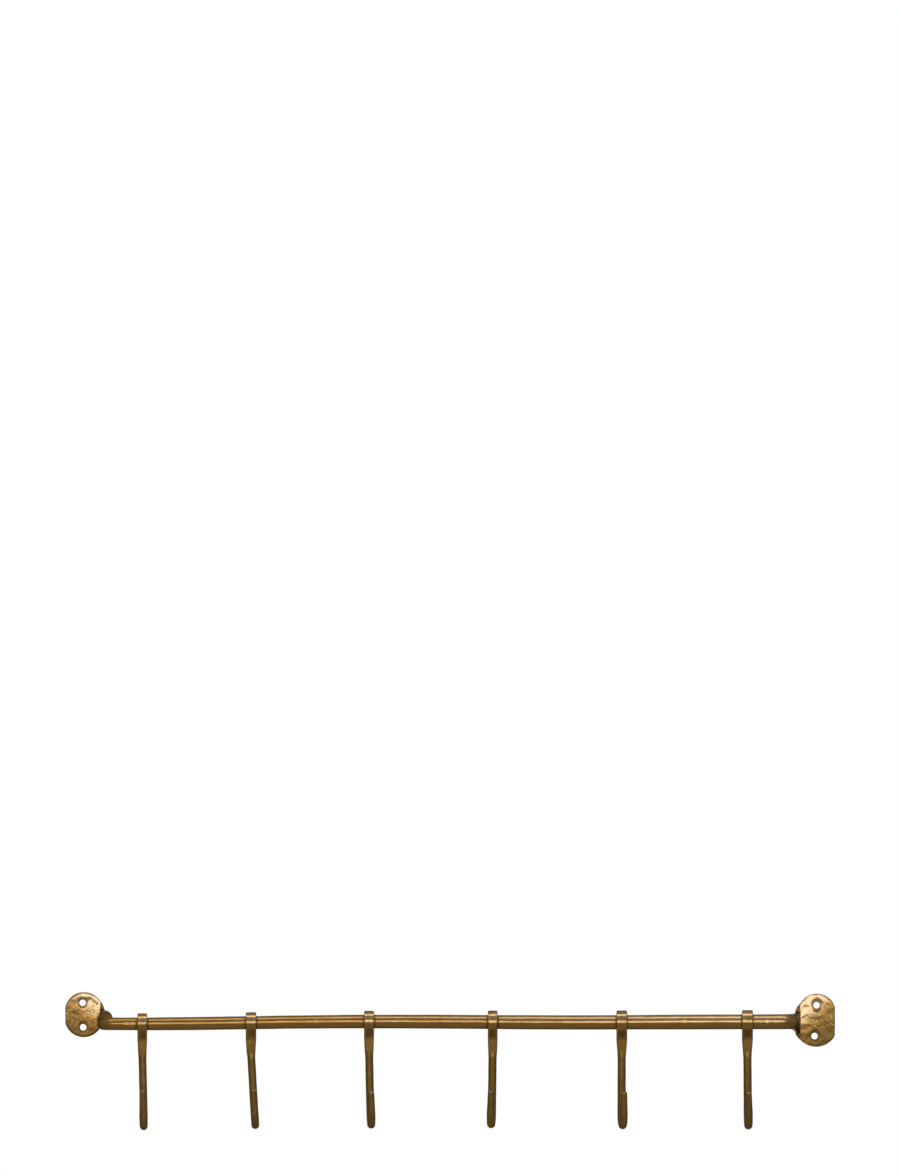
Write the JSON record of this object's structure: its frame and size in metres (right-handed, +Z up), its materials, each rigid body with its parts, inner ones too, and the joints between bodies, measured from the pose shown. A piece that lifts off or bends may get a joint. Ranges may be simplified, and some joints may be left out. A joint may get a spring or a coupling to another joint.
{
  "type": "hook rack",
  "caption": "Hand-forged wall rack: a round bar whose ends are hammered flat into screw plates, with loose J-shaped hooks hung over it by open strap loops.",
  "frame": {"origin": "on the wall, midway between the two screw holes of the left plate", "axes": "+X to the right along the bar, -Y out of the wall to the front, +Z up"},
  "size_m": [0.6, 0.0585, 0.1071],
  "materials": {
    "rail_brass": "antique satin",
    "hook_brass": "dark antique satin"
  },
  "bodies": {
    "rail": {"rail": "rail_brass"},
    "hook_1": {"hook_1": "hook_brass"},
    "hook_2": {"hook_2": "hook_brass"},
    "hook_3": {"hook_3": "hook_brass"},
    "hook_4": {"hook_4": "hook_brass"},
    "hook_5": {"hook_5": "hook_brass"},
    "hook_6": {"hook_6": "hook_brass"}
  },
  "joints": [
    {"name": "hook_1_swing", "type": "hinge", "parent": "rail", "child": "hook_1", "pos_m": [0.0467, -0.04, -0.0063], "axis": [-1, 0, 0], "range_deg": [-24, 199]},
    {"name": "hook_2_swing", "type": "hinge", "parent": "rail", "child": "hook_2", "pos_m": [0.1313, -0.04, -0.0054], "axis": [-1, 0, 0], "range_deg": [-24, 199]},
    {"name": "hook_3_swing", "type": "hinge", "parent": "rail", "child": "hook_3", "pos_m": [0.2232, -0.04, -0.0045], "axis": [-1, 0, 0], "range_deg": [-24, 199]},
    {"name": "hook_4_swing", "type": "hinge", "parent": "rail", "child": "hook_4", "pos_m": [0.3194, -0.04, -0.0049], "axis": [-1, 0, 0], "range_deg": [-24, 199]},
    {"name": "hook_5_swing", "type": "hinge", "parent": "rail", "child": "hook_5", "pos_m": [0.4199, -0.04, -0.0051], "axis": [-1, 0, 0], "range_deg": [-24, 199]},
    {"name": "hook_6_swing", "type": "hinge", "parent": "rail", "child": "hook_6", "pos_m": [0.5177, -0.04, -0.0047], "axis": [-1, 0, 0], "range_deg": [-24, 199]}
  ]
}
